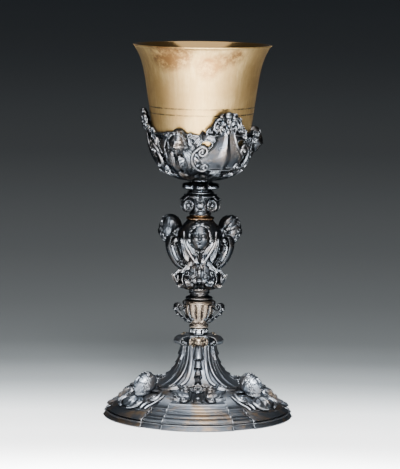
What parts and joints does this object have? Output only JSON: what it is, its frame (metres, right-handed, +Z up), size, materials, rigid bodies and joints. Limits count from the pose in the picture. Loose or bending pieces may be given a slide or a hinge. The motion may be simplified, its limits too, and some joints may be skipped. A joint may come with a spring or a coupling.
{
  "type": "chalice",
  "caption": "Baroque chalice with a gilt bell cup in a pierced silver calyx, a cherub knop, a fluted vase knop and a lobed stepped foot; the cup unscrews.",
  "frame": {"origin": "centre of the foot's underside, on the stem's axis", "axes": "+Z up the stem to the cup's rim, -Y towards the front bay of the foot"},
  "size_m": [0.1338, 0.1332, 0.26],
  "materials": {
    "gilt_cup": "pale worn gilding on silver, softly polished, with brown tarnish",
    "worn_gilt": "gilding worn through to silver, dark in the hollows",
    "bright_silver": "silver rubbed bright",
    "oxidised_silver": "cast and chased silver, blue-grey with black hollows and bright edges",
    "screw_steel": "turned, dull"
  },
  "bodies": {
    "root": {"foot_plinth": "oxidised_silver", "foot_dome": "oxidised_silver", "foot_rib_1": "oxidised_silver", "foot_rib_2": "oxidised_silver", "foot_rib_3": "oxidised_silver", "husk_drop_1": "oxidised_silver", "husk_drop_2": "oxidised_silver", "husk_drop_3": "oxidised_silver", "stem_boss_1": "worn_gilt", "stem_boss_2": "worn_gilt", "stem_boss_3": "worn_gilt", "foot_shell_1": "oxidised_silver", "foot_shell_2": "oxidised_silver", "foot_shell_3": "oxidised_silver", "foot_cherub_1": "oxidised_silver", "foot_cherub_2": "oxidised_silver", "foot_cherub_3": "oxidised_silver", "bead_ring": "bright_silver", "vase_knop": "worn_gilt", "vase_ear_1": "oxidised_silver", "vase_ear_2": "oxidised_silver", "vase_ear_3": "oxidised_silver", "lower_ring": "oxidised_silver", "knop_body": "oxidised_silver", "knop_cherub_1": "oxidised_silver", "knop_cherub_2": "oxidised_silver", "knop_cherub_3": "oxidised_silver", "knop_bracket_1": "oxidised_silver", "knop_bracket_2": "oxidised_silver", "knop_bracket_3": "oxidised_silver", "neck_ring": "worn_gilt", "spool_knop": "oxidised_silver", "spool_scroll_1": "oxidised_silver", "spool_scroll_2": "oxidised_silver", "spool_scroll_3": "oxidised_silver", "upper_collar": "oxidised_silver", "calyx_bowl": "oxidised_silver", "leaf_cup": "oxidised_silver", "calyx_cherub_1": "oxidised_silver", "calyx_cherub_2": "oxidised_silver", "calyx_cherub_3": "oxidised_silver", "calyx_cartouche_1": "oxidised_silver", "calyx_cartouche_2": "oxidised_silver", "calyx_cartouche_3": "oxidised_silver", "calyx_crest_1": "oxidised_silver", "calyx_crest_2": "oxidised_silver", "calyx_crest_3": "oxidised_silver", "coupling": "screw_steel", "tie_rod": "screw_steel"},
    "cup_seat": {"cup_washer": "screw_steel"},
    "cup": {"cup": "gilt_cup", "cup_stud": "screw_steel"},
    "nut_seat": {"foot_washer": "screw_steel"},
    "nut": {"foot_nut": "screw_steel"}
  },
  "joints": [
    {"name": "cup_lift", "type": "slide", "parent": "root", "child": "cup_seat", "axis": [0, 0, 1], "range_m": [0, 0.0076]},
    {"name": "cup_turn", "type": "hinge", "parent": "cup_seat", "child": "cup", "pos_m": [0, 0, 0.1704], "axis": [0, 0, 1], "range_deg": [0, 2160]},
    {"name": "nut_drop", "type": "slide", "parent": "root", "child": "nut_seat", "axis": [0, 0, -1], "range_m": [0, 0.006]},
    {"name": "nut_turn", "type": "hinge", "parent": "nut_seat", "child": "nut", "pos_m": [0, 0, 0.0494], "axis": [0, 0, -1], "range_deg": [0, 2185]}
  ],
  "couplings": [
    {"joint": "cup_lift", "follows": "cup_turn", "m_per_rad": 0.00019894},
    {"joint": "nut_turn", "follows": "nut_drop", "rad_per_m": 6283.2}
  ]
}
